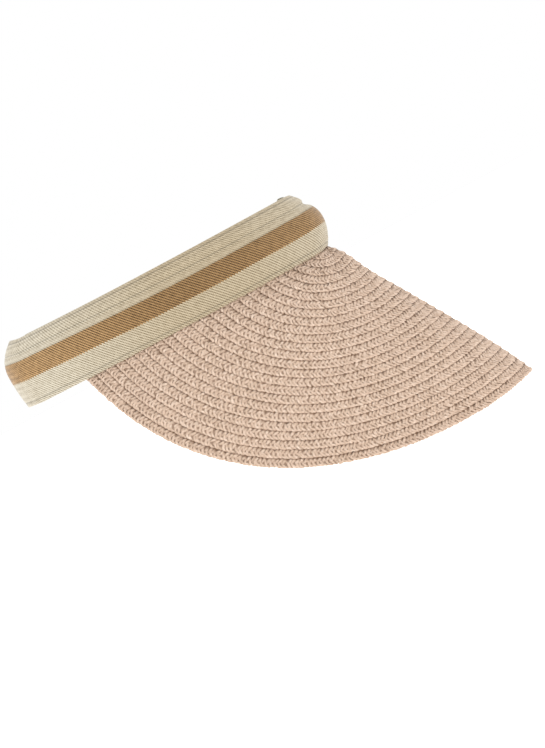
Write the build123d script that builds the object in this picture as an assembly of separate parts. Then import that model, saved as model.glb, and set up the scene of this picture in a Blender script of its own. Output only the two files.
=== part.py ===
from build123d import *
import os
from math import asin, atan, atan2, ceil, cos, degrees, pi, radians, sin, sqrt

# A roll-up sun visor: a striped webbing band that closes into an oval with a
# hook-and-loop strap, and a wide brim sewn from rows of paper braid.
# +Z is up on the head, -Y is the front, +X is the wearer's left. The origin is
# the centre of the head opening, level with the band's lower edge. Millimetres.

os.makedirs("parts", exist_ok=True)

# ---------------------------------------------------------------- dimensions
BAND_LENGTH = 209.0  # outside of the oval, front to back, at its fullest height
BAND_WIDTH = 120.0  # outside of the oval, side to side, at its fullest height
END_RADIUS = 33.0  # of the oval's front and back
BAND_HEIGHT = 40.0
FULL_HEIGHT = 19.0  # height at which the barrel-shaped wall stands furthest out
LOWER_LEAN = 3.6  # how far the lower edge stands in from there
UPPER_LEAN = 9.0  # and the upper edge

WEBBING = 1.3  # thickness of the striped twill
CORE = 1.6  # of the stiffener, and of the brim's heading in the same layer
LINING = 1.0
PLY_GAP = 0.05  # between sewn layers
LAY = 0.08  # between the band's face and what is sewn on it
HEADING_TOP = 6.0  # the brim's bound edge reaches this far up inside the band
LINING_RISE = 0.8  # the lining's folded edge stands above the webbing
CORE_TOP = 39.0
CORE_GAP = 0.5  # from the brim's bound edge up to the stiffener

BRIM_DEPTH = 142.0  # along the front
BRIM_ROWS = 25
BRIM_FALL = 56.2  # degrees below level, along the front
BRIM_DROOP = 6.3  # how far the front edge bends down from that line
ROW_SWEEP = 16.0  # degrees: a row leaves the front this much below level
SEAM_START = 4.0  # the innermost row meets the band this far behind the front
SEAM_END = 161.3  # and the outermost row this far
ROW_BOW = 2.95  # the outermost row's departure from a circular arc
RIM_BEND = 33.0  # bend radius of the brim's edge at the front
FLARE_POWER = 3.0  # how late a row turns back in to the band
BRAID = 1.6  # thickness of the braid
EDGE_BRAID = 2.2  # the outermost row is doubled
ROW_GAP = 0.25
FIRST_GAP = 0.4  # from the band's edge to the first row
BRIM_TUCK = 1.4  # the brim's face starts this far in from the webbing's face
BRIM_CLEAR = 0.3  # and this far below it
THREAD = 0.4
STITCH_SHARE = 0.6  # of a stitch's pitch that shows as thread

PATCH = 0.9  # thickness of the hook and the loop tape
PATCH_CLEAR = 0.3  # between them when closed
STRAP = 1.4
STRAP_EDGE = 2.0  # the strap is narrower than the band by this at each edge
TIP_FOLD = 0.6  # how much thicker the strap's hemmed tip is
HOOK_LOW, HOOK_HIGH = 5.0, 35.0
LOOP_LOW, LOOP_HIGH = 4.0, 36.0
# Where things lie round the oval, as the direction they face: 0 is the front,
# 90 the wearer's left, 180 the back, 270 the wearer's right.
BAND_FROM = 126.0  # end of the band that carries the strap
BAND_TO = 124.5 + 360.0  # end of the band that lies under the strap, once round
HINGE_AT = 125.5
STRAP_ROOT_TO = 131.0
STRAP_TIP = 101.0
HOOK_SPAN = (103.0, 122.0)
LOOP_SPAN = (93.0, 123.2)
HINGE_GAP = 0.35  # degrees left open at the strap's bending line
HEM = 1.0  # degrees of oval that each end's hem covers
HEM_GAP = 0.05
TIP_GAP = 0.02

PAD_HALF = 51.0  # the forehead pad, each way from the front
PAD_THICK = 3.0
PAD_LOW, PAD_HIGH = 5.0, 41.6
LABEL_AT = (176.0, 188.0)
LABEL_LOW, LABEL_HIGH = 8.0, 30.0
LABEL_THICK = 0.3

SEAM_STITCH_HALF = 48.0  # the brim's stitching shows this far round the front
SEAM_STITCH_AT = 4.2  # above the band's edge
SEAM_STITCH_PITCH = 2.6
STRAP_STITCH_PITCH = 2.4
ROOT_STITCH_HEIGHTS = (5.0, 20.0, 35.0)
ROOT_STITCH_INSET = (1.4, 0.6)  # degrees from the hinge, and from the root's end
PATCH_STITCH_HEIGHTS = (6.0, 34.0)

SECTION_STEP = 7.0  # mm of height, at most, between the points of a wall's curve
ROW_SECTIONS = 8  # on each half of the shortest row
ROW_SECTION_GROWTH = 10.0  # mm further out for each section more

# ------------------------------------------------------------------ the oval
HALF_LENGTH, HALF_WIDTH = BAND_LENGTH / 2, BAND_WIDTH / 2
SIDE_RADIUS = (HALF_LENGTH**2 + HALF_WIDTH**2 - 2 * HALF_LENGTH * END_RADIUS) / (
    2 * (HALF_WIDTH - END_RADIUS)
)
END_CENTRE = HALF_LENGTH - END_RADIUS
SIDE_CENTRE = SIDE_RADIUS - HALF_WIDTH
END_ANGLE = degrees(atan2(SIDE_CENTRE, END_CENTRE))
# (from, to, centre x, centre y, radius) of each tangent arc, by facing angle
ARCS = [
    (-END_ANGLE, END_ANGLE, 0, -END_CENTRE, END_RADIUS),
    (END_ANGLE, 180 - END_ANGLE, -SIDE_CENTRE, 0, SIDE_RADIUS),
    (180 - END_ANGLE, 180 + END_ANGLE, 0, END_CENTRE, END_RADIUS),
    (180 + END_ANGLE, 360 - END_ANGLE, SIDE_CENTRE, 0, SIDE_RADIUS),
]


def lean(z):
    """How far in the band's face stands at height z, and its slope there."""
    span = FULL_HEIGHT if z < FULL_HEIGHT else BAND_HEIGHT - FULL_HEIGHT
    most = LOWER_LEAN if z < FULL_HEIGHT else UPPER_LEAN
    part = (z - FULL_HEIGHT) / span
    return most * part**2, 2 * most * part / span


def wall_point(z, depth):
    """A point of the wall's section, depth mm in from the face at height z."""
    stand_in, slope = lean(z)
    tilt = atan(slope)
    return -stand_in - depth * cos(tilt), z - depth * sin(tilt)


def wall_curve(heights, depth, radius):
    """The wall's section at one depth, in the plane of an arc of that radius."""
    points = [wall_point(z, depth) for z in heights]
    return [(radius + out, 0, z) for out, z in points]


def strip(start, end, z_low, z_high, outer, inner):
    """A layer of the band round the oval between two facing angles.

    outer and inner are depths in from the webbing's face; negative is outside."""
    steps = max(2, ceil((z_high - z_low) / SECTION_STEP))
    heights = [z_low + (z_high - z_low) * i / steps for i in range(steps + 1)]
    solids = []
    for turn in (-360, 0, 360):
        for low, high, cx, cy, radius in ARCS:
            a, b = max(start, low + turn), min(end, high + turn)
            if b - a < 1e-6:
                continue
            face_side = wall_curve(heights, outer, radius)
            back_side = wall_curve(heights, inner, radius)
            section = Face(
                Wire(
                    [
                        Edge.make_spline(face_side),
                        Edge.make_line(face_side[-1], back_side[-1]),
                        Edge.make_spline(back_side),
                        Edge.make_line(back_side[0], face_side[0]),
                    ]
                )
            )
            section = Location((cx, cy, 0), (0, 0, a - 90)) * section
            axis = Axis((cx, cy, 0), (0, 0, 1))
            solids.append(revolve(section, axis, revolution_arc=b - a).solid())
    return solids[0] if len(solids) == 1 else solids[0].fuse(*solids[1:])


def stitch_line(start, end, z, outer, pitch):
    """A run of stitches round the oval at height z, each a short flat bar."""
    centre_radius = SIDE_RADIUS if start > END_ANGLE else END_RADIUS
    step = degrees(pitch / centre_radius)
    count = int((end - start) / step)
    bars = []
    for i in range(count):
        from_facing = start + i * step
        to_facing = from_facing + STITCH_SHARE * step
        bars.append(strip(from_facing, to_facing, z, z + THREAD, outer, outer + THREAD))
    return bars


def save(name, shape):
    export_step(shape, f"parts/{name}.step")


# ------------------------------------------------------------------ the brim
def seam_half_width(y):
    """Half the width of the brim's starting line, inside the band's face, at y."""
    inset = LOWER_LEAN + BRIM_TUCK
    join = END_CENTRE + END_RADIUS * cos(radians(END_ANGLE))
    if abs(y) > join:
        return sqrt(max((END_RADIUS - inset) ** 2 - (abs(y) - END_CENTRE) ** 2, 0))
    return sqrt((SIDE_RADIUS - inset) ** 2 - y**2) - SIDE_CENTRE


FRONT_Y = -(HALF_LENGTH - LOWER_LEAN - BRIM_TUCK)


def brim_point(depth, w):
    """A point on the brim's upper face.

    depth is measured out from the band along the front; w runs along a row from
    the seam on the wearer's right (-1) over the front (0) to the left (1). Seen
    from the side a row is a circular arc from the front line to the band."""
    fall, sweep = radians(BRIM_FALL), radians(ROW_SWEEP)
    share = depth / BRIM_DEPTH
    sag = BRIM_DROOP * share**3
    front = (depth * cos(fall) - sag * sin(fall), -depth * sin(fall) - sag * cos(fall))
    seam = (-(SEAM_START + (SEAM_END - SEAM_START) * share), 0.0)
    normal = (-sin(sweep), cos(sweep))
    reach = (seam[0] - front[0], seam[1] - front[1])
    radius = (reach[0] ** 2 + reach[1] ** 2) / (
        2 * (reach[0] * normal[0] + reach[1] * normal[1])
    )
    centre = (front[0] + radius * normal[0], front[1] + radius * normal[1])
    first = atan2(front[1] - centre[1], front[0] - centre[0])
    last = atan2(seam[1] - centre[1], seam[0] - centre[0])
    u = w * w
    angle = first + (last - first) * u
    bowed = radius - ROW_BOW * share**2 * sin(2 * pi * u)
    length = radius * abs(last - first)
    bend = END_RADIUS - LOWER_LEAN + (RIM_BEND - END_RADIUS + LOWER_LEAN) * share
    opened = sqrt(2 * bend * length)
    closing = opened - seam_half_width(FRONT_Y - seam[0])
    x = abs(w) * opened - closing * u**FLARE_POWER
    y = FRONT_Y - (centre[0] + bowed * cos(angle))
    z = centre[1] + bowed * sin(angle) - BRIM_CLEAR
    return Vector(x if w > 0 else -x, y, z)


def brim_normal(depth, w):
    """The unit normal of the brim's upper face, pointing out and up."""
    along = brim_point(depth, min(w + 0.01, 1)) - brim_point(depth, max(w - 0.01, -1))
    across = brim_point(depth + 0.5, w) - brim_point(max(depth - 0.5, 0), w)
    return across.cross(along).normalized()


def row_strip(inner, outer, top, bottom):
    """A strip of the brim between two depths, from top to bottom below its face."""
    middle = (inner + outer) / 2
    half = ROW_SECTIONS + ceil(middle / ROW_SECTION_GROWTH)
    sections = []
    for i in range(-half, half + 1):
        w = i / half
        into = brim_normal(middle, w) * -1
        near, far = brim_point(inner, w), brim_point(outer, w)
        corners = [near + into * top, far + into * top, far + into * bottom, near + into * bottom]
        sections.append(Wire.make_polygon(corners, close=True))
    return Solid.make_loft(sections)


PITCH = BRIM_DEPTH / BRIM_ROWS
for row in range(BRIM_ROWS):
    is_edge = row == BRIM_ROWS - 1
    inner = row * PITCH + (ROW_GAP / 2 if row else FIRST_GAP)
    outer = (row + 1) * PITCH - (0 if is_edge else ROW_GAP / 2)
    braid = row_strip(inner, outer, 0, EDGE_BRAID if is_edge else BRAID)
    save("brim_edge_row" if is_edge else f"braid_row_{row + 1:02d}", braid)

# ------------------------------------------------------------------ the band
core_out = WEBBING + PLY_GAP
core_in = core_out + CORE
lining_out = core_in + PLY_GAP
lining_in = lining_out + LINING
pad_out = lining_in + PLY_GAP
hem_from, hem_to = BAND_FROM + HEM, BAND_TO - HEM
seam_facing = 90 + degrees(asin((SEAM_END + FRONT_Y) / (SIDE_RADIUS - core_in)))
label_in = pad_out + LABEL_THICK
lining_high = BAND_HEIGHT + LINING_RISE

save("band_webbing", strip(hem_from, hem_to, 0, BAND_HEIGHT, 0, WEBBING))
save("band_stiffener", strip(hem_from, hem_to, HEADING_TOP + CORE_GAP, CORE_TOP, core_out, core_in))
save(
    "brim_heading_tape",
    strip(360 - seam_facing, 360 + seam_facing, -BRIM_CLEAR, HEADING_TOP, core_out, core_in),
)
save("band_lining", strip(hem_from, hem_to, 0, lining_high, lining_out, lining_in))
save("forehead_pad", strip(-PAD_HALF, PAD_HALF, PAD_LOW, PAD_HIGH, pad_out, pad_out + PAD_THICK))
save("care_label", strip(*LABEL_AT, LABEL_LOW, LABEL_HIGH, pad_out, label_in))
for name, a, b in (
    ("band_end_hem_at_strap", BAND_FROM, hem_from - HEM_GAP),
    ("band_end_hem_under_strap", hem_to + HEM_GAP, BAND_TO),
):
    save(name, strip(a, b, 0, BAND_HEIGHT, 0, lining_in))

# --------------------------------------------------------------- the closure
strap_low, strap_high = STRAP_EDGE, BAND_HEIGHT - STRAP_EDGE
hook_out = -(2 * PATCH + PATCH_CLEAR)
strap_out = hook_out - STRAP
strap_in = hook_out - LAY
save("loop_patch", strip(*LOOP_SPAN, LOOP_LOW, LOOP_HIGH, -PATCH, -LAY))
save("hook_patch", strip(*HOOK_SPAN, HOOK_LOW, HOOK_HIGH, hook_out, hook_out + PATCH))
strap = strip(STRAP_TIP + HEM, HINGE_AT, strap_low, strap_high, strap_out, strap_in)
save("closure_strap", strap)
tip_to = STRAP_TIP + HEM - TIP_GAP
tip_hem = strip(STRAP_TIP, tip_to, strap_low, strap_high, strap_out, hook_out + TIP_FOLD)
save("closure_strap_tip_hem", tip_hem)
root = strip(HINGE_AT + HINGE_GAP, STRAP_ROOT_TO, strap_low, strap_high, strap_out, -LAY)
save("closure_strap_root", root)

# -------------------------------------------------------------- the stitching
band_face, strap_face = -THREAD - LAY, strap_out - THREAD - LAY
seam_stitches = stitch_line(
    -SEAM_STITCH_HALF, SEAM_STITCH_HALF, SEAM_STITCH_AT, band_face, SEAM_STITCH_PITCH
)
save("brim_seam_stitching", Compound(children=seam_stitches))
root_from, root_to = HINGE_AT + ROOT_STITCH_INSET[0], STRAP_ROOT_TO - ROOT_STITCH_INSET[1]
root_stitches = []
for z in ROOT_STITCH_HEIGHTS:
    root_stitches += stitch_line(root_from, root_to, z, strap_face, STRAP_STITCH_PITCH)
save("strap_root_stitching", Compound(children=root_stitches))
patch_stitches = []
for z in PATCH_STITCH_HEIGHTS:
    patch_stitches += stitch_line(*HOOK_SPAN, z, strap_face, STRAP_STITCH_PITCH)
save("strap_patch_stitching", Compound(children=patch_stitches))
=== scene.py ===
"""Looks of a roll-up sun visor: rows of plaited paper braid sewn to a striped twill band.

Lengths are millimetres in the row's frame until a mesh is made, then metres. -Y is the
front, +X the wearer's left, +Z up. A "facing" is the direction, in degrees, in which a
spot on the band's oval faces: 0 the front, 90 the left, 180 the back, 270 the right.
The shape functions take and give numpy arrays, a whole strip or row at a time."""
from math import atan2, cos, degrees, radians, sin, sqrt

import bpy
import numpy as np
from mathutils import Matrix, Vector


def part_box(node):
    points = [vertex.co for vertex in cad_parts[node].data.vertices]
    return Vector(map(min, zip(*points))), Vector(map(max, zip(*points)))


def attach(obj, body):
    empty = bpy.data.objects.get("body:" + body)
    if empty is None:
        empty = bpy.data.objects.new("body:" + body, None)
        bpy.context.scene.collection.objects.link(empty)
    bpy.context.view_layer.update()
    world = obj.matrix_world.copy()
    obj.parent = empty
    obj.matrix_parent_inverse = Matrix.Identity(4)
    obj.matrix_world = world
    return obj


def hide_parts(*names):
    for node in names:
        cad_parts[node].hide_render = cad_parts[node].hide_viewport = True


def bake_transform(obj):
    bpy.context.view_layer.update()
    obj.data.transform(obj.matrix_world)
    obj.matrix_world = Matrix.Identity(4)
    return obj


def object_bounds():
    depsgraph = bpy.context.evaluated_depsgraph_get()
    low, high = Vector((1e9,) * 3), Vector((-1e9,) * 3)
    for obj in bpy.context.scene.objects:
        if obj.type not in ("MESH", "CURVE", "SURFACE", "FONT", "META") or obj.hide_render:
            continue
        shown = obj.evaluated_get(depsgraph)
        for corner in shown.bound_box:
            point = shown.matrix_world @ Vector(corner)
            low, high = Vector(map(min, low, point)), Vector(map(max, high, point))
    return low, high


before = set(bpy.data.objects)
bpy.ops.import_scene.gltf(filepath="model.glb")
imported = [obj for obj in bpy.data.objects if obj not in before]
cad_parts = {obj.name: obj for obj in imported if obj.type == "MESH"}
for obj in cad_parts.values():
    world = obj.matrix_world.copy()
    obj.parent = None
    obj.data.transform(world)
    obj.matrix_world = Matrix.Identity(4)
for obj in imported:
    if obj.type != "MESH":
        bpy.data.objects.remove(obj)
cad_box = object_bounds()

# ------------------------------------------------------------ the CAD's dimensions
MM = 0.001
HALF_WIDTH, HALF_LENGTH, BAND_HEIGHT = (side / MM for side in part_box("band_webbing")[1])
END_RADIUS = 33.0  # of the oval's front and back
FULL_HEIGHT = 19.0  # height at which the barrel-shaped wall stands furthest out
LOWER_LEAN = 3.6  # how far the lower edge stands in from there
UPPER_LEAN = 9.0  # and the upper edge
WEBBING, CORE, LINING = 1.3, 1.6, 1.0  # thicknesses of the band's layers
PLY_GAP = 0.05  # between sewn layers
LAY = 0.08  # between the band's face and what is sewn on it
BRIM_DEPTH = 142.0  # along the front
BRIM_ROWS = 25
BRIM_FALL = radians(56.2)  # below level, along the front
BRIM_DROOP = 6.3  # how far the front edge bends down from that line
ROW_SWEEP = radians(16.0)  # a row leaves the front this much below level
SEAM_START = 4.0  # the innermost row meets the band this far behind the front
SEAM_END = 161.3  # and the outermost row this far
ROW_BOW = 2.95  # the outermost row's departure from a circular arc
RIM_BEND = 33.0  # bend radius of the brim's edge at the front
FLARE_POWER = 3.0  # how late a row turns back in to the band
BRIM_TUCK = 1.4  # the brim's face starts this far in from the webbing's face
BRIM_CLEAR = 0.3  # and this far below it
PITCH = BRIM_DEPTH / BRIM_ROWS
PATCH = 0.9  # thickness of the hook and the loop tape
PATCH_CLEAR = 0.3  # between them when closed
STRAP = 1.4
STRAP_EDGE = 2.0  # the strap is narrower than the band by this at each edge
PAD_THICK = 3.0
LABEL_THICK = 0.3
# Where things lie round the oval, by facing, and their heights above the band's edge.
BAND_FROM, BAND_TO = 126.0, 484.5
STRAP_ROOT_TO, STRAP_TIP = 131.0, 101.0
HOOK_SPAN, HOOK_HEIGHTS = (103.0, 122.0), (5, 35)
LOOP_SPAN, LOOP_HEIGHTS = (93.0, 123.2), (4, 36)
LABEL_SPAN, LABEL_HEIGHTS = (176, 188), (8, 30)

# ------------------------------------------------------------------ geometry of the oval
SIDE_RADIUS = (HALF_LENGTH**2 + HALF_WIDTH**2 - 2 * HALF_LENGTH * END_RADIUS) / (
    2 * (HALF_WIDTH - END_RADIUS)
)
END_CENTRE = HALF_LENGTH - END_RADIUS
SIDE_CENTRE = SIDE_RADIUS - HALF_WIDTH
END_ANGLE = degrees(atan2(SIDE_CENTRE, END_CENTRE))
ARCS = [
    (-END_ANGLE, END_ANGLE, 0, -END_CENTRE, END_RADIUS),
    (END_ANGLE, 180 - END_ANGLE, -SIDE_CENTRE, 0, SIDE_RADIUS),
    (180 - END_ANGLE, 180 + END_ANGLE, 0, END_CENTRE, END_RADIUS),
    (180 + END_ANGLE, 360 - END_ANGLE, SIDE_CENTRE, 0, SIDE_RADIUS),
]


def arc_at(facing):
    """Centre x, centre y and radius of the oval's arc at each facing angle."""
    turned = np.mod(facing + END_ANGLE, 360) - END_ANGLE
    found = [np.zeros_like(turned) for _ in range(3)]
    for low, high, *arc in ARCS:
        here = (turned >= low) & (turned < high + 1e-9)
        for values, value in zip(found, arc):
            values[here] = value
    return found


FACINGS = np.arange(-100.0, 560.0, 0.05)
LENGTHS = np.concatenate([[0], np.cumsum(np.radians(0.05) * arc_at(FACINGS)[2][:-1])])


def wander(x, wavelength, seed):
    """A smooth number, about -1 to 1, that drifts over the given wavelength."""
    rng = np.random.default_rng(seed)
    total = 0
    for k in range(1, 5):
        turns = x / wavelength * k * rng.uniform(0.8, 1.2) + rng.random()
        total = total + np.sin(2 * np.pi * turns) / k
    return total / 1.6


def ease(share):
    """From 0 to 1 with soft ends."""
    share = np.clip(share, 0, 1)
    return share * share * (3 - 2 * share)


def facings_between(start, end, step):
    """Facing angles from start to end, about step mm apart along the oval."""
    a, b = np.interp([start, end], FACINGS, LENGTHS)
    return np.interp(np.linspace(a, b, max(2, int((b - a) / step) + 1)), LENGTHS, FACINGS)


# ------------------------------------------------------------- the band's soft wall
SETTLED = 0.965  # its height at the front, as a share of the CAD's
BACK_TALLER = 0.04  # and this much more at the back
BACK_UPRIGHT = 0.45  # the share of the lower edge's lean that the back goes without
FRONT_TIP, BACK_TIP = 1.5, 2.0  # how much more the upper edge leans in at the ends
BACK_SHORT = 1.2  # how far the back stands in from the CAD's
LOOSE, LOOSE_WAVE = 0.45, 110  # how far the upper edge wanders, and over what length
BULGE, BULGE_TOP = 1.7, 29  # the fullness low at the front, and where it ends
CREASE, CREASE_AT, CREASE_WIDE = 2.0, 30.5, 2.2  # the dent above that
SIDE_SAG, BACK_SAG = 2.1, 0.9  # how far the whole band hangs below the CAD's
FRONT_DIP = 1.5  # how far the upper edge dips at the front
STRIPE_RISE, STRIPE_SINK = 2.2, 0.8  # of the middle height: up at the back, down at the sides
RISE_FROM, RISE_OVER = 0.45, 0.4  # where that rise starts, from front 0 to back 1, and how slowly


def wall(facing, height, depth):
    """Points of the band's wall: depth mm in from its face, at a facing and a height.

    The wall is barrel-shaped. The cloth is fuller low at the front, with a crease above,
    and its long sides hang a little lower than its ends."""
    ahead, aside = np.cos(np.radians(facing)), np.sin(np.radians(facing))
    front = ahead * 0.5 + 0.5
    back = 1 - front
    up = np.clip(height / BAND_HEIGHT, 0, 1)
    low = height < FULL_HEIGHT
    span = np.where(low, FULL_HEIGHT, BAND_HEIGHT - FULL_HEIGHT)
    most = np.where(
        low,
        LOWER_LEAN * (1 - BACK_UPRIGHT * back**4),
        UPPER_LEAN + FRONT_TIP * front**6 + BACK_TIP * back**6,
    )
    part = np.minimum((height - FULL_HEIGHT) / span, 1)
    tilt = np.arctan(2 * most * part / span)
    along = np.interp(facing, FACINGS, LENGTHS)
    loose = LOOSE * wander(along, LOOSE_WAVE, 3) * up
    bulge = BULGE * front**5 * np.sin(np.pi * np.clip(height / BULGE_TOP, 0, 1))
    crease = CREASE * front**12 * np.exp(-(((height - CREASE_AT) / CREASE_WIDE) ** 2))
    out = -most * part**2 - depth * np.cos(tilt) + loose + bulge - crease
    out = out - BACK_SHORT * back**4
    arch = STRIPE_RISE * ease((back - RISE_FROM) / RISE_OVER) - STRIPE_SINK * aside**2
    sag = SIDE_SAG * aside**2 + BACK_SAG * back**2 + FRONT_DIP * front**12 * up**2
    level = height * (SETTLED + BACK_TALLER * back) - depth * np.sin(tilt)
    cx, cy, radius = arc_at(facing)
    x = cx + (radius + out) * aside
    y = cy - (radius + out) * ahead
    return np.stack([x, y, level - sag + arch * np.sin(np.pi * up)], -1)


# ------------------------------------------------------------------ geometry of the brim
FRONT_Y = -(HALF_LENGTH - LOWER_LEAN - BRIM_TUCK)
WAVE, WAVE_LENGTH = 0.4, 150  # the braid's gentle waves
WAVE_RUN, WAVE_SKEW = 330, 0.7  # mm of wave over half a row, and over each mm of depth
SWELL, SWELL_AT, SWELL_WIDE = 2.4, 12, 12  # the swelling below the band's front
SIDE_DROP = 1.5  # how far the rows' ends hang below the CAD's


def seam_half_width(y):
    """Half the width of the line where the brim leaves the band, at y."""
    inset = LOWER_LEAN + BRIM_TUCK
    join = END_CENTRE + END_RADIUS * cos(radians(END_ANGLE))
    end = np.sqrt(np.maximum((END_RADIUS - inset) ** 2 - (np.abs(y) - END_CENTRE) ** 2, 0))
    side = np.sqrt((SIDE_RADIUS - inset) ** 2 - y**2) - SIDE_CENTRE
    return np.where(np.abs(y) > join, end, side)


def row_arc(depth):
    """The circular arc a row follows as seen from the side.

    Gives its centre, radius, first and last angle, and where it meets the band."""
    share = depth / BRIM_DEPTH
    droop = BRIM_DROOP * share**3
    front = depth * cos(BRIM_FALL) - droop * sin(BRIM_FALL)
    height = -depth * sin(BRIM_FALL) - droop * cos(BRIM_FALL)
    seam = -(SEAM_START + (SEAM_END - SEAM_START) * share)
    run = seam - front
    spread = 2 * (-height * cos(ROW_SWEEP) - run * sin(ROW_SWEEP))
    radius = (run**2 + height**2) / spread
    centre = front - radius * sin(ROW_SWEEP), height + radius * cos(ROW_SWEEP)
    first = np.arctan2(height - centre[1], front - centre[0])
    last = np.arctan2(-centre[1], seam - centre[0])
    return centre, radius, first, last, seam


def brim_point(depth, w):
    """Points of the brim's upper face; see brim_frame."""
    share = depth / BRIM_DEPTH
    centre, radius, first, last, seam = row_arc(depth)
    u = w * w
    angle = first + (last - first) * u
    bowed = radius - ROW_BOW * share**2 * np.sin(2 * np.pi * np.clip(u, 0, 1))
    bend = END_RADIUS - LOWER_LEAN + (RIM_BEND - END_RADIUS + LOWER_LEAN) * share
    opened = np.sqrt(2 * bend * radius * np.abs(last - first))
    closing = opened - seam_half_width(FRONT_Y - seam)
    x = np.sign(w) * (np.abs(w) * opened - closing * u**FLARE_POWER)
    y = FRONT_Y - (centre[0] + bowed * np.cos(angle))
    z = centre[1] + bowed * np.sin(angle) - BRIM_CLEAR
    return np.stack([x, y, z], -1)


def unit(v):
    """Vectors of length 1."""
    return v / np.maximum(np.linalg.norm(v, axis=-1, keepdims=True), 1e-12)


def brim_frame(depth, w):
    """Points of the brim's upper face, and its normals out of that face.

    depth is measured out from the band along the front; w runs along a row from the
    seam on the wearer's right (-1) over the front (0) to the seam on the left (1). The
    brim swells a little where it leaves the front of the band, and hangs from the
    band's sides a little lower."""
    here = brim_point(depth, w)
    along = brim_point(depth, w + 0.004) - brim_point(depth, w - 0.004)
    across = brim_point(depth + 0.4, w) - brim_point(depth - 0.4, w)
    normal = unit(np.cross(across, along))
    wave = WAVE * wander(w * WAVE_RUN + depth * WAVE_SKEW, WAVE_LENGTH, 11)
    wave = wave * np.clip(depth / BRIM_DEPTH, 0, 1) ** 0.5
    swell = SWELL * np.exp(-(((depth - SWELL_AT) / SWELL_WIDE) ** 2)) * np.clip(1 - 6 * w * w, 0, 1)
    drop = np.array([0, 0, SIDE_DROP]) * np.clip(np.abs(w), 0, 1)[..., None] ** 2
    return here + normal * (wave + swell)[..., None] - drop, normal


# ------------------------------------------------------------------ meshes
class Tubes:
    """Closed tubes gathered into one mesh. Each is rings of points, capped at both ends."""

    def __init__(self):
        self.points, self.corners, self.sizes, self.marks, self.count = [], [], [], {}, 0

    def add(self, rings, **marks):
        """Adds one tube. Each mark is a number or a vector for every point of its rings."""
        m, k = rings.shape[:2]
        index = np.arange(m * k).reshape(m, k)
        a, b = index[:-1], index[1:]
        quads = np.stack([a, np.roll(a, -1, 1), np.roll(b, -1, 1), b], -1).reshape(-1, 4)
        caps = index[0][::-1], index[-1]
        p = rings.reshape(-1, 3) - rings.reshape(-1, 3).mean(0)
        turned = (np.cross(p[quads[:, i]], p[quads[:, i + 1]]) for i in (1, 2))
        inside_out = sum((p[quads[:, 0]] * turn).sum() for turn in turned) < 0
        if inside_out:
            quads, caps = quads[:, ::-1], tuple(c[::-1] for c in caps)
        self.points.append(rings.reshape(-1, 3))
        self.corners += [quads.ravel() + self.count] + [c + self.count for c in caps]
        self.sizes += [np.full(len(quads), 4), [k], [k]]
        for name, values in marks.items():
            self.marks.setdefault(name, []).append(values.reshape(m * k, -1))
        self.count += m * k

    def object(self, name, material):
        """The Blender object made of the tubes so far, with their marks as attributes."""
        mesh = bpy.data.meshes.new(name)
        points, corners = np.concatenate(self.points) * MM, np.concatenate(self.corners)
        sizes = np.concatenate(self.sizes)
        mesh.vertices.add(len(points))
        mesh.vertices.foreach_set("co", points.astype(np.float32).ravel())
        mesh.loops.add(len(corners))
        mesh.loops.foreach_set("vertex_index", corners.astype(np.int32))
        mesh.polygons.add(len(sizes))
        starts = np.concatenate([[0], np.cumsum(sizes)[:-1]])
        mesh.polygons.foreach_set("loop_start", starts.astype(np.int32))
        mesh.polygons.foreach_set("use_smooth", np.ones(len(sizes), bool))
        for mark, values in self.marks.items():
            values = np.concatenate(values).astype(np.float32)
            kind, field = ("FLOAT_VECTOR", "vector") if values.shape[1] == 3 else ("FLOAT", "value")
            mesh.attributes.new(mark, kind, "POINT").data.foreach_set(field, values.ravel())
        mesh.update(calc_edges=True)
        mesh.materials.append(material)
        made = bpy.data.objects.new(name, mesh)
        bpy.context.scene.collection.objects.link(made)
        return made


def finish_piece(piece, body, slot, *nodes):
    """Hangs a piece on the empty of the body it rides on, and hides the CAD nodes it stands for.
    slot is not used.
    """
    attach(piece, body)
    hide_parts(*nodes)


ROUND_OFF = 0.4  # of a strip's edges
BACK_POINTS = 14  # up the back of a strip, where nothing fine shows


def wall_rings(facings, low, high, outer, inner, step, relief=None):
    """Rings round a strip's section at each facing: up its face, over its edge, down its back.

    outer and inner are the depths of its two faces, as numbers or functions of facing.
    Also gives the mark of each point: length along, height, and 1 on the face, 0 on the back."""
    count = max(4, int((high - low) / step))
    rise = np.linspace(low + ROUND_OFF, high - ROUND_OFF, count)
    fall = rise[::-1][:: max(1, count // BACK_POINTS)]
    turn = np.radians([30, 90, 150])
    over, under = ROUND_OFF * np.sin(turn), (1 - np.cos(turn)) / 2
    height = np.concatenate([rise, high - ROUND_OFF + over, fall, low + ROUND_OFF - over])
    share = np.concatenate([np.zeros(count), under, np.ones(len(fall)), under[::-1]])
    f, z = np.meshgrid(facings, height, indexing="ij")
    along = np.interp(f, FACINGS, LENGTHS)
    face = outer(f) if callable(outer) else outer
    back = inner(f) if callable(inner) else inner
    depth = face + (back - face) * share
    if relief is not None:
        depth = depth - relief(along, z) * (1 - share)
    return wall(f, z, depth), np.stack([along, z, 1 - share + 0 * f], -1)


def band_strip(name, span, heights, outer, inner, material, steps=(2.0, 2.0), relief=None):
    """One strip of cloth round the band as a closed mesh.

    steps are the mm between its points along the band and up it."""
    facings = facings_between(*span, steps[0])
    rings, cloth = wall_rings(facings, *heights, outer, inner, steps[1], relief)
    along = cloth[..., 0]
    tubes = Tubes()
    # the marks: the cloth's place, how strongly the twill shows, and how much painted light
    # brightens it
    tubes.add(rings, cloth=cloth, flat=twill_share(along, cloth[..., 1]), worn=worn_share(along))
    return tubes.object(name, material)


STITCH_TURN = 0.55  # degrees of facing that a stitch covers, for each mm of its pitch
STITCH_SUNK, STITCH_RISE = 0.25, 0.4  # its ends lie this deep, and its middle rises by this


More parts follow.
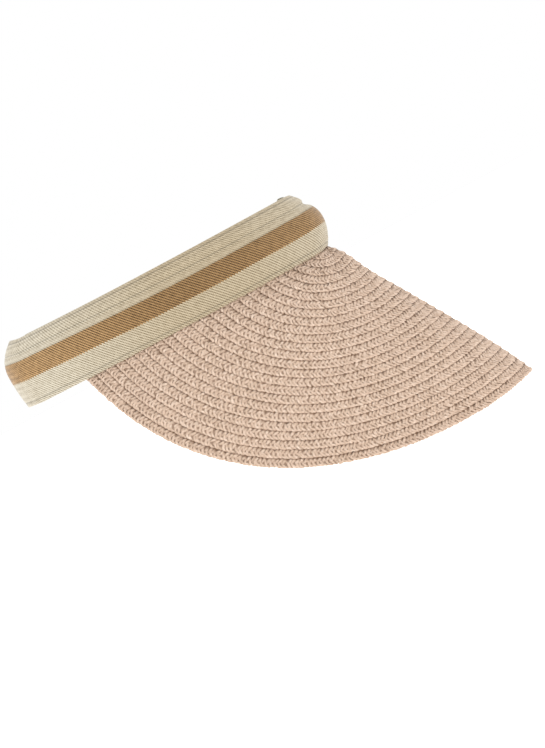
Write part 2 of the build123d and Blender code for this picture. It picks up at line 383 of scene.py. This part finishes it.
def stitches(name, runs, material, pitch, thread=0.42):
    """Runs of stitches on the band's face, each (from facing, to facing, height, depth)."""
    tubes = Tubes()
    part = np.linspace(0, 1, 7)
    arch = np.sin(np.pi * part)
    girth = thread / 2 * (0.35 + 0.65 * np.sqrt(arch))[:, None, None]
    around = np.linspace(0, 2 * np.pi, 6, endpoint=False)
    across, rise = np.cos(around)[None, :, None], np.sin(around)[None, :, None]
    marks = np.stack(np.broadcast_arrays((part * 9)[:, None], around, 1.0), -1)
    for start, end, height, depth in runs:
        for facing in facings_between(start, end, pitch):
            f = facing + part * STITCH_TURN * pitch
            deep = (depth(f) if callable(depth) else depth) + 0 * f
            line = wall(f, height + 0 * f, deep + STITCH_SUNK - STITCH_RISE * arch)
            out = unit(wall(f, height + 0 * f, deep - 1.0) - wall(f, height + 0 * f, deep))
            up = unit(np.cross(np.gradient(line, axis=0), out))
            rings = line[:, None] + girth * (across * out[:, None] + rise * up[:, None])
            tubes.add(rings, cloth=marks)
    return tubes.object(name, material)


# ------------------------------------------------------------------ materials
class Material:
    """A small helper around a material's node tree."""

    def __init__(self, name, rough=0.8):
        self.made = bpy.data.materials.new(name)
        self.made.use_nodes = True
        self.tree = self.made.node_tree
        self.shader = self.tree.nodes["Principled BSDF"]
        self.shader.inputs["Roughness"].default_value = rough
        self.shader.inputs["Specular IOR Level"].default_value = 0.25

    def node(self, kind, inputs=(), **settings):
        made = self.tree.nodes.new("ShaderNode" + kind)
        for key, value in settings.items():
            setattr(made, key, value)
        for key, value in dict(inputs).items():
            if isinstance(value, bpy.types.NodeSocket):
                self.tree.links.new(value, made.inputs[key])
            else:
                made.inputs[key].default_value = value
        return made

    def link(self, value, socket):
        self.tree.links.new(value, self.shader.inputs[socket])

    def math(self, operation, *values):
        return self.node("Math", enumerate(values), operation=operation).outputs[0]

    def mark(self, name):
        """A mark that Tubes left on the mesh."""
        return self.node("Attribute", attribute_name=name)

    def parts(self, vector):
        return self.node("SeparateXYZ", [(0, vector)]).outputs

    def noise(self, vector, scale, detail=2.0, rough=0.5):
        values = {"Vector": vector, "Scale": scale, "Detail": detail, "Roughness": rough}
        return self.node("TexNoise", values.items()).outputs[0]

    def place(self):
        return self.node("TexCoord").outputs["Object"]

    def mix(self, share, a, b, blend="MIX"):
        made = self.node("Mix", data_type="RGBA", blend_type=blend)
        for socket, value in zip((made.inputs[0], made.inputs[6], made.inputs[7]), (share, a, b)):
            if isinstance(value, bpy.types.NodeSocket):
                self.tree.links.new(value, socket)
            else:
                socket.default_value = value
        return made.outputs[2]

    def ramp(self, share, stops, mode="LINEAR"):
        made = self.node("ValToRGB", [(0, share)])
        made.color_ramp.interpolation = mode
        ramp = made.color_ramp.elements
        for i, (at, colour) in enumerate(stops):
            stop = ramp[i] if i < 2 else ramp.new(at)
            stop.position, stop.color = at, colour
        return made.outputs[0]

    def bump(self, height, distance, strength=1.0):
        values = {"Height": height, "Distance": distance * MM, "Strength": strength}
        self.link(self.node("Bump", values.items()).outputs[0], "Normal")


def srgb(r, g, b):
    """A linear colour from 0-255 display values."""
    return (*[((c / 255 + 0.055) / 1.055) ** 2.4 for c in (r, g, b)], 1.0)


def grey(level):
    """A linear grey, or a factor for all three channels."""
    return level, level, level, 1


def paper_material():
    """Twisted paper straw: creased and mottled, with painted shade deep in the plait."""
    m = Material("blush_paper_straw", 0.72)
    strand = m.parts(m.mark("strand").outputs["Vector"])
    shade = m.mark("shade").outputs["Fac"]
    drift = m.noise(m.place(), 70, 3)
    fibre = m.noise(m.place(), 1900, 3, 0.65)
    crumb = m.noise(m.place(), 640, 2, 0.6)
    tone = m.math("ADD", m.math("MULTIPLY", strand[2], 0.4), m.math("MULTIPLY", fibre, 0.75))
    tone = m.math("ADD", tone, m.math("MULTIPLY_ADD", crumb, 0.9, -0.42))
    straw = [(0.25, srgb(168, 142, 120)), (0.6, srgb(198, 172, 150)), (1.0, srgb(225, 205, 187))]
    warm = m.mix(m.math("MULTIPLY", drift, 0.5), m.ramp(tone, straw), srgb(198, 175, 159))
    # painted shade: the shade mark mixes in this dark brown where the plait lies deep
    deep = m.mix(shade, srgb(102, 76, 55), warm)
    m.link(deep, "Base Color")
    m.link(m.math("MULTIPLY_ADD", fibre, 0.3, 0.55), "Roughness")
    creases = m.math("SINE", m.math("MULTIPLY_ADD", strand[1], 9.0, m.math("MULTIPLY", drift, 20.0)))
    m.bump(m.math("ADD", m.math("MULTIPLY", creases, 0.25), fibre), 0.12, 0.7)
    m.shader.inputs["Sheen Weight"].default_value = 0.15
    m.shader.inputs["Sheen Roughness"].default_value = 0.5
    return m.made


# Heights, in mm above the band's lower edge, where the webbing's stripes change.
TAN_LOW, TAN_HIGH, RIB_HIGH, GROOVE, TOP_LINE, SELVEDGE = 13.9, 26.0, 29.9, 31.1, 37.8, 2.2
# The lines along the webbing: height, and brightness as a share of the cloth's.
LINES = (
    (SELVEDGE, 0.62), (TAN_LOW, 1.2), (TAN_HIGH + 0.3, 0.8), (GROOVE, 0.6), (35.6, 0.86),
    (TOP_LINE, 0.5),
)
LINE_SOFT = 0.36 / BAND_HEIGHT  # of a line's edges, as a share of the height
TOP_BRIGHT = 1.1  # of the cloth above the tan stripe
TWILL_TILT, TWILL_PITCH, TWILL_FLOAT = radians(46), 1.5, 1.7
CORD_PITCH = 3.1  # of the ribs that show where the twill is faint
BORDER_TOOTH = 0.4  # of the tan stripe's lower border


def twill_share(along, z):
    """How strongly the twill shows: less in the plain ribs, above them, and round the ends."""
    plain = ((z > TAN_HIGH + 0.4) & (z < RIB_HIGH)) | (z > TOP_LINE)
    ahead = np.cos(np.radians(np.interp(along, LENGTHS, FACINGS)))
    end = 0.6 * np.maximum(ahead, 0) ** 8 + np.clip((-ahead - 0.5) / 0.45, 0, 1)
    return np.where(plain, 0.45, np.where(z > GROOVE, 0.75, 1.0)) * (1 - 0.8 * end)


def worn_share(along):
    """How much painted light brightens the band's colours: towards its back, and a little at its
    front.
    """
    ahead = np.cos(np.radians(np.interp(along, LENGTHS, FACINGS)))
    return 0.5 * np.clip((ahead - 0.35) / 0.5, 0, 1) + np.clip(-ahead / 0.6, 0, 1)


def ridge(z, at, wide):
    """1 at a height, falling away to 0 on both sides."""
    return np.exp(-(((z - at) / wide) ** 2))


def twill_relief(along, z):
    """The webbing's weave in relief: diagonal ribs, a plain rib, a groove and selvedges."""
    rib = np.cos(2 * np.pi * (along * sin(TWILL_TILT) + z * cos(TWILL_TILT)) / TWILL_PITCH)
    return (
        0.09 * twill_share(along, z) * rib
        + 0.14 * ridge(z, (TAN_HIGH + RIB_HIGH) / 2, 1.2)
        - 0.16 * ridge(z, GROOVE, 0.35)
        - 0.14 * ridge(z, SELVEDGE, 0.35)
        - 0.14 * ridge(z, TOP_LINE, 0.3)
        - 0.07 * ridge(z, TAN_HIGH + 0.2, 0.3)
        + 0.06 * ridge(z, TAN_LOW, 0.4) * np.cos(2 * np.pi * along / TWILL_PITCH)
    )


def twill_pattern(m, along, height):
    """The twill's ribs and the floats that make them up, each -1 to 1."""
    slant = m.math(
        "ADD",
        m.math("MULTIPLY", along, sin(TWILL_TILT) / TWILL_PITCH),
        m.math("MULTIPLY", height, cos(TWILL_TILT) / TWILL_PITCH),
    )
    rib = m.math("COSINE", m.math("MULTIPLY", slant, 2 * np.pi))
    run = m.math(
        "SUBTRACT",
        m.math("MULTIPLY", along, 2 * np.pi * cos(TWILL_TILT) / TWILL_FLOAT),
        m.math("MULTIPLY", height, 2 * np.pi * sin(TWILL_TILT) / TWILL_FLOAT),
    )
    return rib, m.math("MULTIPLY", rib, m.math("COSINE", run))


def tan_stripe(m, along, height):
    """1 in the tan stripe and 0 elsewhere. The weave makes its lower border toothed."""
    teeth = m.math("COSINE", m.math("MULTIPLY_ADD", along, np.pi, m.math("MULTIPLY", height, 1.2)))
    below = m.math("LESS_THAN", height, (TAN_LOW + TAN_HIGH) / 2)
    teeth = m.math("MULTIPLY", teeth, m.math("MULTIPLY", below, BORDER_TOOTH))
    share = m.math("DIVIDE", m.math("ADD", height, teeth), BAND_HEIGHT)
    stops = [(0, grey(0)), (TAN_LOW / BAND_HEIGHT, grey(1)), (TAN_HIGH / BAND_HEIGHT, grey(0))]
    return m.ramp(share, stops, "CONSTANT")


def woven_lines(m, height):
    """The brightness of the lines along the webbing, as grey to multiply by."""
    stops = [(0, grey(1)), (1.0, grey(TOP_BRIGHT))]
    for z, share in LINES:
        base = TOP_BRIGHT if z > TAN_HIGH + 1 else 1.0
        for side, level in ((-1.6, base), (0, share * base), (1.6, base)):
            stops.append((z / BAND_HEIGHT + side * LINE_SOFT, grey(level)))
    stops.sort(key=lambda stop: stop[0])
    return m.ramp(m.math("DIVIDE", height, BAND_HEIGHT), stops)


def webbing_material():
    """Cream twill with a tan stripe, plain ribs and sunk lines, with painted light towards the ends.
    """
    m = Material("striped_twill", 0.85)
    along, height, side = m.parts(m.mark("cloth").outputs["Vector"])
    rib, dots = twill_pattern(m, along, height)
    fuzz = m.noise(m.place(), 1400, 3, 0.6)
    drift = m.noise(m.place(), 60, 2)
    patchy = m.noise(m.place(), 420, 2)
    flat = m.mark("flat").outputs["Fac"]
    # the share of painted light on the band
    worn = m.mark("worn").outputs["Fac"]
    woven = m.math("MULTIPLY", m.math("ADD", rib, m.math("MULTIPLY", dots, 0.7)), flat)
    lit = m.math("MULTIPLY_ADD", woven, 0.4, 0.5)
    lit = m.math("ADD", lit, m.math("MULTIPLY_ADD", m.math("ADD", fuzz, patchy), 0.55, -0.55))
    cords = m.math("COSINE", m.math("MULTIPLY", height, 2 * np.pi / CORD_PITCH))
    lit = m.math("ADD", lit, m.math("MULTIPLY", m.math("MULTIPLY_ADD", flat, -0.13, 0.13), cords))
    cream = [(0.0, srgb(108, 95, 71)), (0.45, srgb(157, 143, 119)), (1.0, srgb(187, 174, 149))]
    tan = [(0.0, srgb(48, 31, 11)), (0.45, srgb(116, 88, 53)), (1.0, srgb(158, 126, 86))]
    # painted light: the colours are brightened towards the band's back and a little at its front
    cream_painted_light = m.mix(worn, grey(1), (1.19, 1.3, 1.5, 1))
    tan_painted_light = m.mix(worn, grey(1), (1.45, 1.5, 1.6, 1))
    cream = m.mix(1.0, m.ramp(lit, cream), cream_painted_light, "MULTIPLY")
    tan = m.mix(1.0, m.ramp(lit, tan), tan_painted_light, "MULTIPLY")
    body = m.mix(tan_stripe(m, along, height), cream, tan)
    body = m.mix(1.0, body, woven_lines(m, height), "MULTIPLY")
    yellowed = m.mix(1.0, body, srgb(236, 228, 214), "MULTIPLY")
    body = m.mix(m.math("MULTIPLY", drift, 0.35), body, yellowed)
    m.link(m.mix(side, srgb(206, 192, 162), body), "Base Color")
    m.bump(m.math("ADD", m.math("MULTIPLY", dots, 0.5), fuzz), 0.1, 0.6)
    m.shader.inputs["Sheen Weight"].default_value = 0.2
    return m.made


def cloth_material(name, colour, light, pitch, bump, rough=0.88, fuzz_scale=1500):
    """A plain weave in one colour, with lighter raised yarns."""
    m = Material(name, rough)
    along, height, _ = m.parts(m.mark("cloth").outputs["Vector"])
    warp = m.math("COSINE", m.math("MULTIPLY", along, 2 * np.pi / pitch))
    weft = m.math("COSINE", m.math("MULTIPLY", height, 2 * np.pi / pitch))
    weave = m.math("MULTIPLY", warp, weft)
    fuzz = m.noise(m.place(), fuzz_scale, 4, 0.65)
    drift = m.noise(m.place(), 55, 2)
    tone = m.math("ADD", m.math("MULTIPLY_ADD", weave, 0.22, 0.2), m.math("MULTIPLY", fuzz, 0.5))
    tone = m.math("ADD", tone, m.math("MULTIPLY", drift, 0.2))
    m.link(m.mix(tone, colour, light), "Base Color")
    m.bump(m.math("ADD", m.math("MULTIPLY", weave, 0.5), fuzz), bump, 0.8)
    m.shader.inputs["Sheen Weight"].default_value = 0.25
    return m.made


# ------------------------------------------------------------------ the brim
STRANDS = 5
PLAIT_LENGTH = 12.5  # along the row, for a strand to cross it and come back
STRAND_WIDE, STRAND_THICK = 1.75, 0.6  # its width, and its thickness as a share of the braid's
ROW_OVERLAP = 1.2
ROW_TILT = 0.7  # a row's outer edge stands this far above its inner edge
ROW_SPARE = 2.2  # how far a row runs on past the seam, under the band
SIDES = 6  # of a strand's section
SAMPLE = 0.6  # between a strand's sections
EDGE_HOLD = 1.5  # how sharply a strand turns back at the row's edges
# how dark the painted shade is on the ribbon in the plait's heart
HEART_SHADE = 0.35


def row_path(depth, spare):
    """Lengths along a row and their w, from spare mm behind one seam to the other."""
    _, radius, first, last, _ = row_arc(np.array(depth))
    end = sqrt(1 + spare / (radius * abs(last - first)))
    w = np.linspace(-end, end, 4001)
    steps = np.linalg.norm(np.diff(brim_point(np.full(w.shape, depth), w), axis=0), axis=1)
    return np.concatenate([[0], np.cumsum(steps)]), w


def across_row(turn):
    """A strand's place across its row, -1 to 1, by how far it is through its crossing."""
    steep = np.tanh(EDGE_HOLD * np.arcsin(0.97))
    return np.tanh(EDGE_HOLD * np.arcsin(0.97 * np.cos(2 * np.pi * turn))) / steep


def ribbon(centre, normal, wide, tall, roll):
    """Rings round a flat strand that is wide by tall and rolls a little about its length."""
    around = np.linspace(0, 2 * np.pi, SIDES, endpoint=False)
    ahead = unit(np.gradient(centre, axis=0))
    sideways = unit(np.cross(ahead, normal))
    up = np.cross(sideways, ahead)
    flat, tall, roll = wide[:, None] / 2 * np.cos(around), tall / 2 * np.sin(around), roll[:, None]
    over = (flat * np.cos(roll) - tall * np.sin(roll))[..., None]
    out = (flat * np.sin(roll) + tall * np.cos(roll))[..., None]
    return centre[:, None] + sideways[:, None] * over + up[:, None] * out


def plait(tubes, depth, wide, thick, groove, clear, seed):
    """One row of flat plait: five strands, each over two and under two of the others.

    groove is how light the painted shade is along the line where the row comes out from under the
    one above, and clear how far out from there that painted shade reaches."""
    rng = np.random.default_rng(seed)
    lengths, ws = row_path(depth, ROW_SPARE)
    s = np.linspace(0, lengths[-1], int(lengths[-1] / SAMPLE) + 2)
    w = np.interp(s, lengths, ws)
    reach = (wide - STRAND_WIDE * 0.75) / 2
    start = rng.random()
    across = np.cos(np.linspace(0, 2 * np.pi, SIDES, endpoint=False))
    for strand in range(STRANDS):
        own = seed * 7 + strand
        slack = 0.6 * wander(s, 60, seed) + 0.55 * wander(s, 13, own)
        slack = slack + 0.36 * wander(s, 4.5, own + 9)
        turn = (-(s + slack) / PLAIT_LENGTH + start + strand / STRANDS) % 1.0
        v = -across_row(turn) * reach * (1 + 0.05 * wander(s, 16, own + 1))
        v = v + 0.17 * wander(s, 5, own + 2)
        over = np.clip(1.5 * np.sin(4 * np.pi * turn), -1, 1)
        height = over * thick * 0.25 + ROW_TILT * v / wide + 0.15 * wander(s, 5, own + 3)
        centre, normal = brim_frame(np.maximum(depth + v, -1.5), w)
        centre = centre + normal * (height - thick * 0.75)[:, None]
        width = STRAND_WIDE * (1 + 0.2 * wander(s, 5, own + 4) - 0.1 * v / reach)
        rings = ribbon(centre, normal, width, thick * STRAND_THICK, 0.3 * wander(s, 10, own + 5))
        tone = np.clip(0.5 + 0.4 * wander(s, 5, own + 6) + 0.1 * rng.normal(), 0, 1)
        marks = np.stack(np.broadcast_arrays(s[:, None], across, tone[:, None]), -1)
        # painted shade: a strand is darker where it passes under, towards its edges, and where its
        # row comes out from under the one above
        crown = 1 - 0.18 * np.abs(across) ** 3
        tucked = np.clip((v + wide / 2 - ROW_OVERLAP - clear) / 0.8, 0, 1)
        bared = groove + (1 - groove) * tucked
        shade = (0.88 + 0.12 * over)[:, None] * crown * bared[:, None]
        tubes.add(rings, strand=marks, shade=np.clip(shade, 0, 1))
    plait_heart(tubes, depth, wide, thick, s[::3], w[::3])


def plait_heart(tubes, depth, wide, thick, s, w):
    """A thin ribbon of painted shade in a plait's heart, which shows in the gaps between its
    strands.
    """
    around = np.linspace(0, 2 * np.pi, SIDES, endpoint=False)
    across, rise = np.cos(around), np.sin(around)
    v = (wide / 2 - 0.7) * across[None]
    w = np.broadcast_to(w[:, None], (len(w), SIDES))
    centre, normal = brim_frame(np.maximum(depth + v, -1.5) + 0 * w, w)
    rings = centre + normal * (ROW_TILT * v / wide - thick * 0.75 + 0.12 * rise)[..., None]
    marks = np.stack(np.broadcast_arrays(s[:, None], across, 0.3), -1)
    tubes.add(rings, strand=marks, shade=np.full(w.shape, HEART_SHADE))


def make_brim():
    """The rows of braid. The outermost is thicker and has a darker line of painted shade above it.
    """
    paper = paper_material()
    for row in range(BRIM_ROWS):
        is_edge = row == BRIM_ROWS - 1
        node = "brim_edge_row" if is_edge else f"braid_row_{row + 1:02d}"
        # painted shade: the line above the edge row is fully dark and reaches a little further out
        thick, groove, clear = (1.5, 0.0, 0.1) if is_edge else (1.0, 0.05, 0.0)
        tubes = Tubes()
        plait(tubes, (row + 0.5) * PITCH, PITCH + ROW_OVERLAP, thick, groove, clear, 101 + row)
        piece = tubes.object(node + "_plait", paper)
        finish_piece(piece, "band", "paper_braid_edge" if is_edge else "paper_braid", node)


# ------------------------------------------------------------------ the band
BACK = WEBBING + CORE + 2 * PLY_GAP  # depth at which the lining starts
BAND_SPAN = (BAND_FROM - 0.75, BAND_TO + 0.7)  # with the folds of its hems
LOWER_FOLD = 0.4  # the webbing's folded edge reaches this far below the band's
CORE_HEIGHTS = (6.5, 39.0)
TAPE_HALF, TAPE_HEIGHTS = 117, (-3.2, 6.0)  # the brim's bound edge, each way from the front
PAD_HALF, PAD_HEIGHTS = 38.0, (5.0, 43.8)


def make_webbing(twill):
    """The striped face of the band. It also stands for the hems into which its ends are turned."""
    webbing = band_strip(
        "striped_webbing", BAND_SPAN, (-LOWER_FOLD, BAND_HEIGHT), 0, WEBBING, twill, (0.5, 0.42),
        twill_relief,
    )
    nodes = "band_webbing", "band_end_hem_at_strap", "band_end_hem_under_strap"
    finish_piece(webbing, "band", "striped_twill", *nodes)


def make_lining():
    """The cotton lining, whose folded edge stands just above the webbing."""
    cotton = cloth_material("lining_cotton", srgb(188, 174, 146), srgb(228, 218, 196), 0.9, 0.12)
    heights = (0.2, BAND_HEIGHT + 0.6)
    lining = band_strip(
        "cotton_lining", BAND_SPAN, heights, BACK, BACK + LINING, cotton, (1.5, 1.2)
    )
    finish_piece(lining, "band", "lining", "band_lining")


def make_stiffening():
    """The stiffener, and below it the brim's heading tape, between webbing and lining."""
    layer = WEBBING + PLY_GAP, BACK - PLY_GAP
    felt = cloth_material("interlining", srgb(196, 190, 176), srgb(226, 222, 210), 0.7, 0.1)
    core = band_strip("stiff_interlining", BAND_SPAN, CORE_HEIGHTS, *layer, felt, (2.0, 3.0))
    finish_piece(core, "band", "stiffener", "band_stiffener")
    binding = cloth_material("cotton_tape", srgb(146, 128, 104), srgb(194, 176, 150), 0.7, 0.1)
    span = (360 - TAPE_HALF, 360 + TAPE_HALF)
    tape = band_strip("heading_tape", span, TAPE_HEIGHTS, *layer, binding, (2.0, 1.0))
    finish_piece(tape, "band", "stiffener", "brim_heading_tape")


def make_pad():
    """The forehead pad on the lining."""
    olive = cloth_material("olive_terry", srgb(104, 100, 82), srgb(160, 154, 130), 1.4, 0.35, 0.95)
    face = BACK + LINING
    pad = band_strip(
        "forehead_pad_cover", (-PAD_HALF, PAD_HALF), PAD_HEIGHTS, face + PLY_GAP, face + PAD_THICK,
        olive, (1.2, 1.0),
    )
    finish_piece(pad, "band", "sweat_pad", "forehead_pad")


def make_label():
    """The care label on the lining. Nothing is printed on it."""
    satin = cloth_material("label_satin", srgb(222, 220, 214), srgb(250, 249, 246), 0.4, 0.04, 0.45)
    face = BACK + LINING + PLY_GAP
    label = band_strip(
        "blank_label", LABEL_SPAN, LABEL_HEIGHTS, face, face + LABEL_THICK, satin, (1.0, 1.0)
    )
    finish_piece(label, "band", "label", "care_label")


# ------------------------------------------------------------------ the closure
HOOK_FACE = -(2 * PATCH + PATCH_CLEAR)  # the hook tape's outside, as a depth
STRAP_FACE = HOOK_FACE - STRAP
STRAP_RISE = 3.2  # degrees over which the strap's root rises over the tapes
STRAP_HEIGHTS = (STRAP_EDGE, BAND_HEIGHT - STRAP_EDGE)
BEND_SPAN = (128.2, 122.6)  # where the strap's cloth bends when it is peeled


def strap_face(facing):
    """The depth of the strap's face: on the band at its root, then out over the tapes."""
    return HOOK_FACE * np.clip((STRAP_ROOT_TO - facing) / STRAP_RISE, 0, 1) - STRAP


def strap_back(facing):
    """The depth of the strap's back."""
    return strap_face(facing) + STRAP - PLY_GAP


def make_strap(twill):
    """The closure strap. Its root lies on the band and the rest lies out over the tapes."""
    span = (STRAP_TIP, STRAP_ROOT_TO)
    strap = band_strip(
        "closure_strap_cloth", span, STRAP_HEIGHTS, strap_face, strap_back, twill, (0.6, 0.5),
        twill_relief,
    )
    middle, face = np.array([BAND_HEIGHT / 2]), np.array([STRAP_FACE])
    before, after = (wall(np.array([f]), middle, face)[0] * MM for f in BEND_SPAN)
    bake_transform(strap)
    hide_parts("closure_strap", "closure_strap_root", "closure_strap_tip_hem")


def make_tapes():
    """The hook tape under the strap and the loop tape on the band."""
    hooks = cloth_material("nylon_hooks", srgb(176, 170, 154), srgb(226, 222, 210), 1.1, 0.4, 0.5)
    loops = cloth_material(
        "nylon_loops", srgb(176, 168, 150), srgb(218, 212, 196), 0.8, 0.4, 0.95, 2400
    )
    fine = (0.8, 0.8)
    patch = band_strip(
        "hook_tape", HOOK_SPAN, HOOK_HEIGHTS, HOOK_FACE, HOOK_FACE + PATCH, hooks, fine
    )
    finish_piece(patch, "strap", "hook_tape", "hook_patch")
    patch = band_strip("loop_tape", LOOP_SPAN, LOOP_HEIGHTS, -PATCH, -LAY, loops, fine)
    finish_piece(patch, "band", "loop_tape", "loop_patch")


# The stitching: where it runs by facing, at what heights, and the pitch of its stitches.
SEAM_STITCH_SPAN, SEAM_STITCH_AT, SEAM_STITCH_PITCH = (-48, 48), 4.2, 2.6
TACK_SPAN, TACK_HEIGHTS, TACK_PITCH, TACK_THREAD = (127.6, 130), (5, 20, 35), 1.2, 0.5
TAPE_STITCH_SPAN, TAPE_STITCH_HEIGHTS, TAPE_STITCH_PITCH = (103.4, 121.6), (6, 34), 2.4


def make_stitching():
    """Stitches along the brim's seam, bar tacks at the strap's root, and seams on its tape."""
    thread = cloth_material("spun_thread", srgb(176, 160, 130), srgb(222, 210, 184), 0.5, 0.1)
    seam = [(*SEAM_STITCH_SPAN, SEAM_STITCH_AT, 0)]
    sewn = stitches("brim_lockstitch", seam, thread, SEAM_STITCH_PITCH)
    finish_piece(sewn, "band", "thread", "brim_seam_stitching")
    tacks = [(*TACK_SPAN, height, strap_face) for height in TACK_HEIGHTS]
    sewn = stitches("root_lockstitch", tacks, thread, TACK_PITCH, TACK_THREAD)
    finish_piece(sewn, "band", "thread", "strap_root_stitching")
    seams = [(*TAPE_STITCH_SPAN, height, STRAP_FACE) for height in TAPE_STITCH_HEIGHTS]
    sewn = stitches("tape_lockstitch", seams, thread, TAPE_STITCH_PITCH)
    finish_piece(sewn, "strap", "thread", "strap_patch_stitching")


# ------------------------------------------------------------------ camera, light and floor
def look(direction, up):
    """The rotation of a camera or lamp that looks along direction with up towards its top."""
    back = -Vector(direction).normalized()
    right = Vector(up).cross(back).normalized()
    return Matrix((right, back.cross(right), back)).transposed()


CAMERA_RISE = radians(1.2)  # the camera looks down by this
NOSE_UP = radians(28.2)  # how far the visor's front is turned up in the picture
CAMERA_DISTANCE = 4000.0
PICTURE_HIGH = 444.312  # what the picture's height shows of the visor's middle plane
# where the band's lower front corner stands in the picture, from its middle
CORNER_RIGHT, CORNER_UP = 32.967, 76.626
VIEW = Vector((cos(CAMERA_RISE), 0, -sin(CAMERA_RISE)))
FRONT = Vector((0, -1, 0))
TOP = FRONT.cross(VIEW).normalized()
PICTURE_RIGHT = FRONT * cos(NOSE_UP) - TOP * sin(NOSE_UP)
PICTURE_UP = FRONT * sin(NOSE_UP) + TOP * cos(NOSE_UP)
LAMP_TOWARDS = PICTURE_UP * 0.5 - PICTURE_RIGHT - VIEW * 0.35
# from here on in metres and watts
LAMP_DISTANCE, LAMP_SIZE, LAMP_POWER = 1.6, 1.0, 2.2
LIT_SPOT = Vector((0, -0.05, -0.04))
SKY_LIGHT, FLOOR_LIGHT = 1.25, 0.9
FLOOR_HALF, FLOOR_GAP = 12.0, 0.001


def make_camera():
    """A distant camera, which sees the visor's right side as the photograph does."""
    data = bpy.data.cameras.new("camera")
    data.sensor_width = 36.0
    data.lens = CAMERA_DISTANCE * data.sensor_width / PICTURE_HIGH
    data.clip_end = 100.0
    camera = bpy.data.objects.new("camera", data)
    bpy.context.scene.collection.objects.link(camera)
    corner = Vector((0, -(HALF_LENGTH - LOWER_LEAN), 0))
    middle = corner - (PICTURE_RIGHT * CORNER_RIGHT + PICTURE_UP * CORNER_UP)
    camera.matrix_world = look(VIEW, PICTURE_UP).to_4x4()
    camera.location = (middle - VIEW * CAMERA_DISTANCE) * MM
    bpy.context.scene.camera = camera


def make_lamp():
    """A square soft lamp behind the band and above it."""
    data = bpy.data.lights.new("behind", "AREA")
    data.size, data.energy = LAMP_SIZE, LAMP_POWER
    lamp = bpy.data.objects.new("behind", data)
    bpy.context.scene.collection.objects.link(lamp)
    towards = LAMP_TOWARDS.normalized()
    lamp.matrix_world = look(-towards, Vector((0, 0, 1))).to_4x4()
    lamp.location = LIT_SPOT + towards * LAMP_DISTANCE


def make_world():
    """Soft light from all round. The camera itself sees plain white."""
    world = bpy.data.worlds.new("studio")
    bpy.context.scene.world = world
    world.use_nodes = True
    nodes, links = world.node_tree.nodes, world.node_tree.links
    background = nodes["Background"]
    background.inputs["Color"].default_value = grey(1)
    background.inputs["Strength"].default_value = SKY_LIGHT
    backdrop = nodes.new("ShaderNodeBackground")
    backdrop.inputs["Color"].default_value = grey(1)
    seen = nodes.new("ShaderNodeLightPath").outputs["Is Camera Ray"]
    either = nodes.new("ShaderNodeMixShader")
    for socket, source in enumerate((seen, background.outputs[0], backdrop.outputs[0])):
        links.new(source, either.inputs[socket])
    links.new(either.outputs[0], nodes["World Output"].inputs[0])


def make_floor():
    """A plain pale floor just below the visor. It glows so that no shadow falls on it."""
    floor = Material("pale_floor", 0.9)
    floor.shader.inputs["Base Color"].default_value = grey(0.9)
    floor.shader.inputs["Emission Color"].default_value = grey(1)
    floor.shader.inputs["Emission Strength"].default_value = FLOOR_LIGHT
    mesh = bpy.data.meshes.new("floor")
    far, low = FLOOR_HALF, cad_box[0].z - FLOOR_GAP
    corners = [(-far, -far, low), (far, -far, low), (far, far, low), (-far, far, low)]
    mesh.from_pydata(corners, [], [(0, 1, 2, 3)])
    mesh.materials.append(floor.made)
    ground = bpy.data.objects.new("floor", mesh)
    bpy.context.scene.collection.objects.link(ground)


bpy.context.scene.view_settings.view_transform = "Standard"
make_camera()
make_world()
make_lamp()
make_floor()
make_brim()
twill = webbing_material()
make_webbing(twill)
make_lining()
make_stiffening()
make_pad()
make_strap(twill)
make_tapes()
make_label()
make_stitching()
